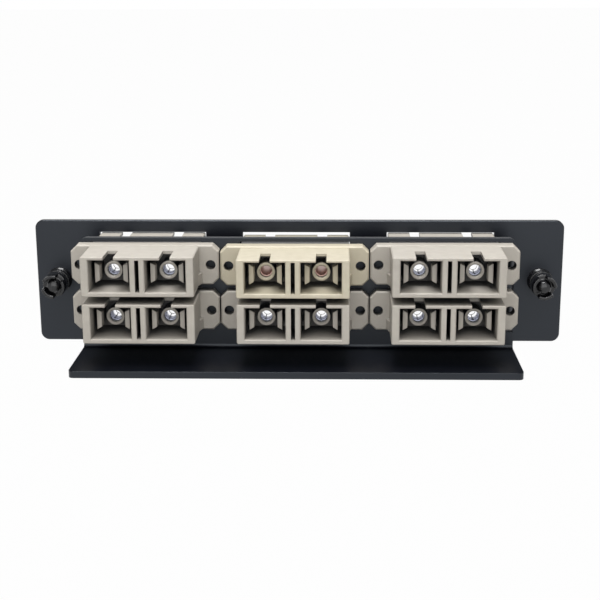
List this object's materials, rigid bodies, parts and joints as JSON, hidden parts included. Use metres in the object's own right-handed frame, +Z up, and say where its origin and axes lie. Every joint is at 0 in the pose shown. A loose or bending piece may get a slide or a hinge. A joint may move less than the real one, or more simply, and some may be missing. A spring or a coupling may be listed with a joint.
{
  "type": "fibre adapter panel",
  "caption": "Fibre adapter panel: a dark folded-steel faceplate and shelf bracket holding two rows of beige duplex adapters, with a black push-pull fastener at each end.",
  "frame": {"origin": "on the faceplate's rear seating face, midway between the axes of the two fasteners", "axes": "+X to the right seen from the front, +Y out of the back of the faceplate, +Z up"},
  "size_m": [0.129, 0.0395, 0.0304],
  "materials": {
    "powder_coat": "satin",
    "beige_plastic": "matte",
    "cream_plastic": "matte",
    "black_plastic": "gloss",
    "zirconia": "polished ceramic",
    "bronze": "satin",
    "spring_steel": "satin"
  },
  "bodies": {
    "panel": {"faceplate": "powder_coat", "front_bracket": "powder_coat", "top_left_front_shell": "beige_plastic", "top_left_rear_shell": "beige_plastic", "top_left_front_inserts": "beige_plastic", "top_left_rear_inserts": "beige_plastic", "top_left_sleeves": "zirconia", "top_left_clip": "spring_steel", "top_centre_front_shell": "cream_plastic", "top_centre_rear_shell": "cream_plastic", "top_centre_front_inserts": "cream_plastic", "top_centre_rear_inserts": "cream_plastic", "top_centre_sleeves": "bronze", "top_centre_clip": "spring_steel", "top_right_front_shell": "beige_plastic", "top_right_rear_shell": "beige_plastic", "top_right_front_inserts": "beige_plastic", "top_right_rear_inserts": "beige_plastic", "top_right_sleeves": "zirconia", "top_right_clip": "spring_steel", "bottom_left_front_shell": "beige_plastic", "bottom_left_rear_shell": "beige_plastic", "bottom_left_front_inserts": "beige_plastic", "bottom_left_rear_inserts": "beige_plastic", "bottom_left_sleeves": "zirconia", "bottom_left_clip": "spring_steel", "bottom_centre_front_shell": "beige_plastic", "bottom_centre_rear_shell": "beige_plastic", "bottom_centre_front_inserts": "beige_plastic", "bottom_centre_rear_inserts": "beige_plastic", "bottom_centre_sleeves": "zirconia", "bottom_centre_clip": "spring_steel", "bottom_right_front_shell": "beige_plastic", "bottom_right_rear_shell": "beige_plastic", "bottom_right_front_inserts": "beige_plastic", "bottom_right_rear_inserts": "beige_plastic", "bottom_right_sleeves": "zirconia", "bottom_right_clip": "spring_steel", "left_grommet": "black_plastic", "right_grommet": "black_plastic"},
    "left_plunger": {"left_plunger": "black_plastic"},
    "right_plunger": {"right_plunger": "black_plastic"}
  },
  "joints": [
    {"name": "left_plunger_pull", "type": "slide", "parent": "panel", "child": "left_plunger", "axis": [0, -1, 0], "range_m": [0, 0.0045]},
    {"name": "right_plunger_pull", "type": "slide", "parent": "panel", "child": "right_plunger", "axis": [0, -1, 0], "range_m": [0, 0.0045]}
  ]
}
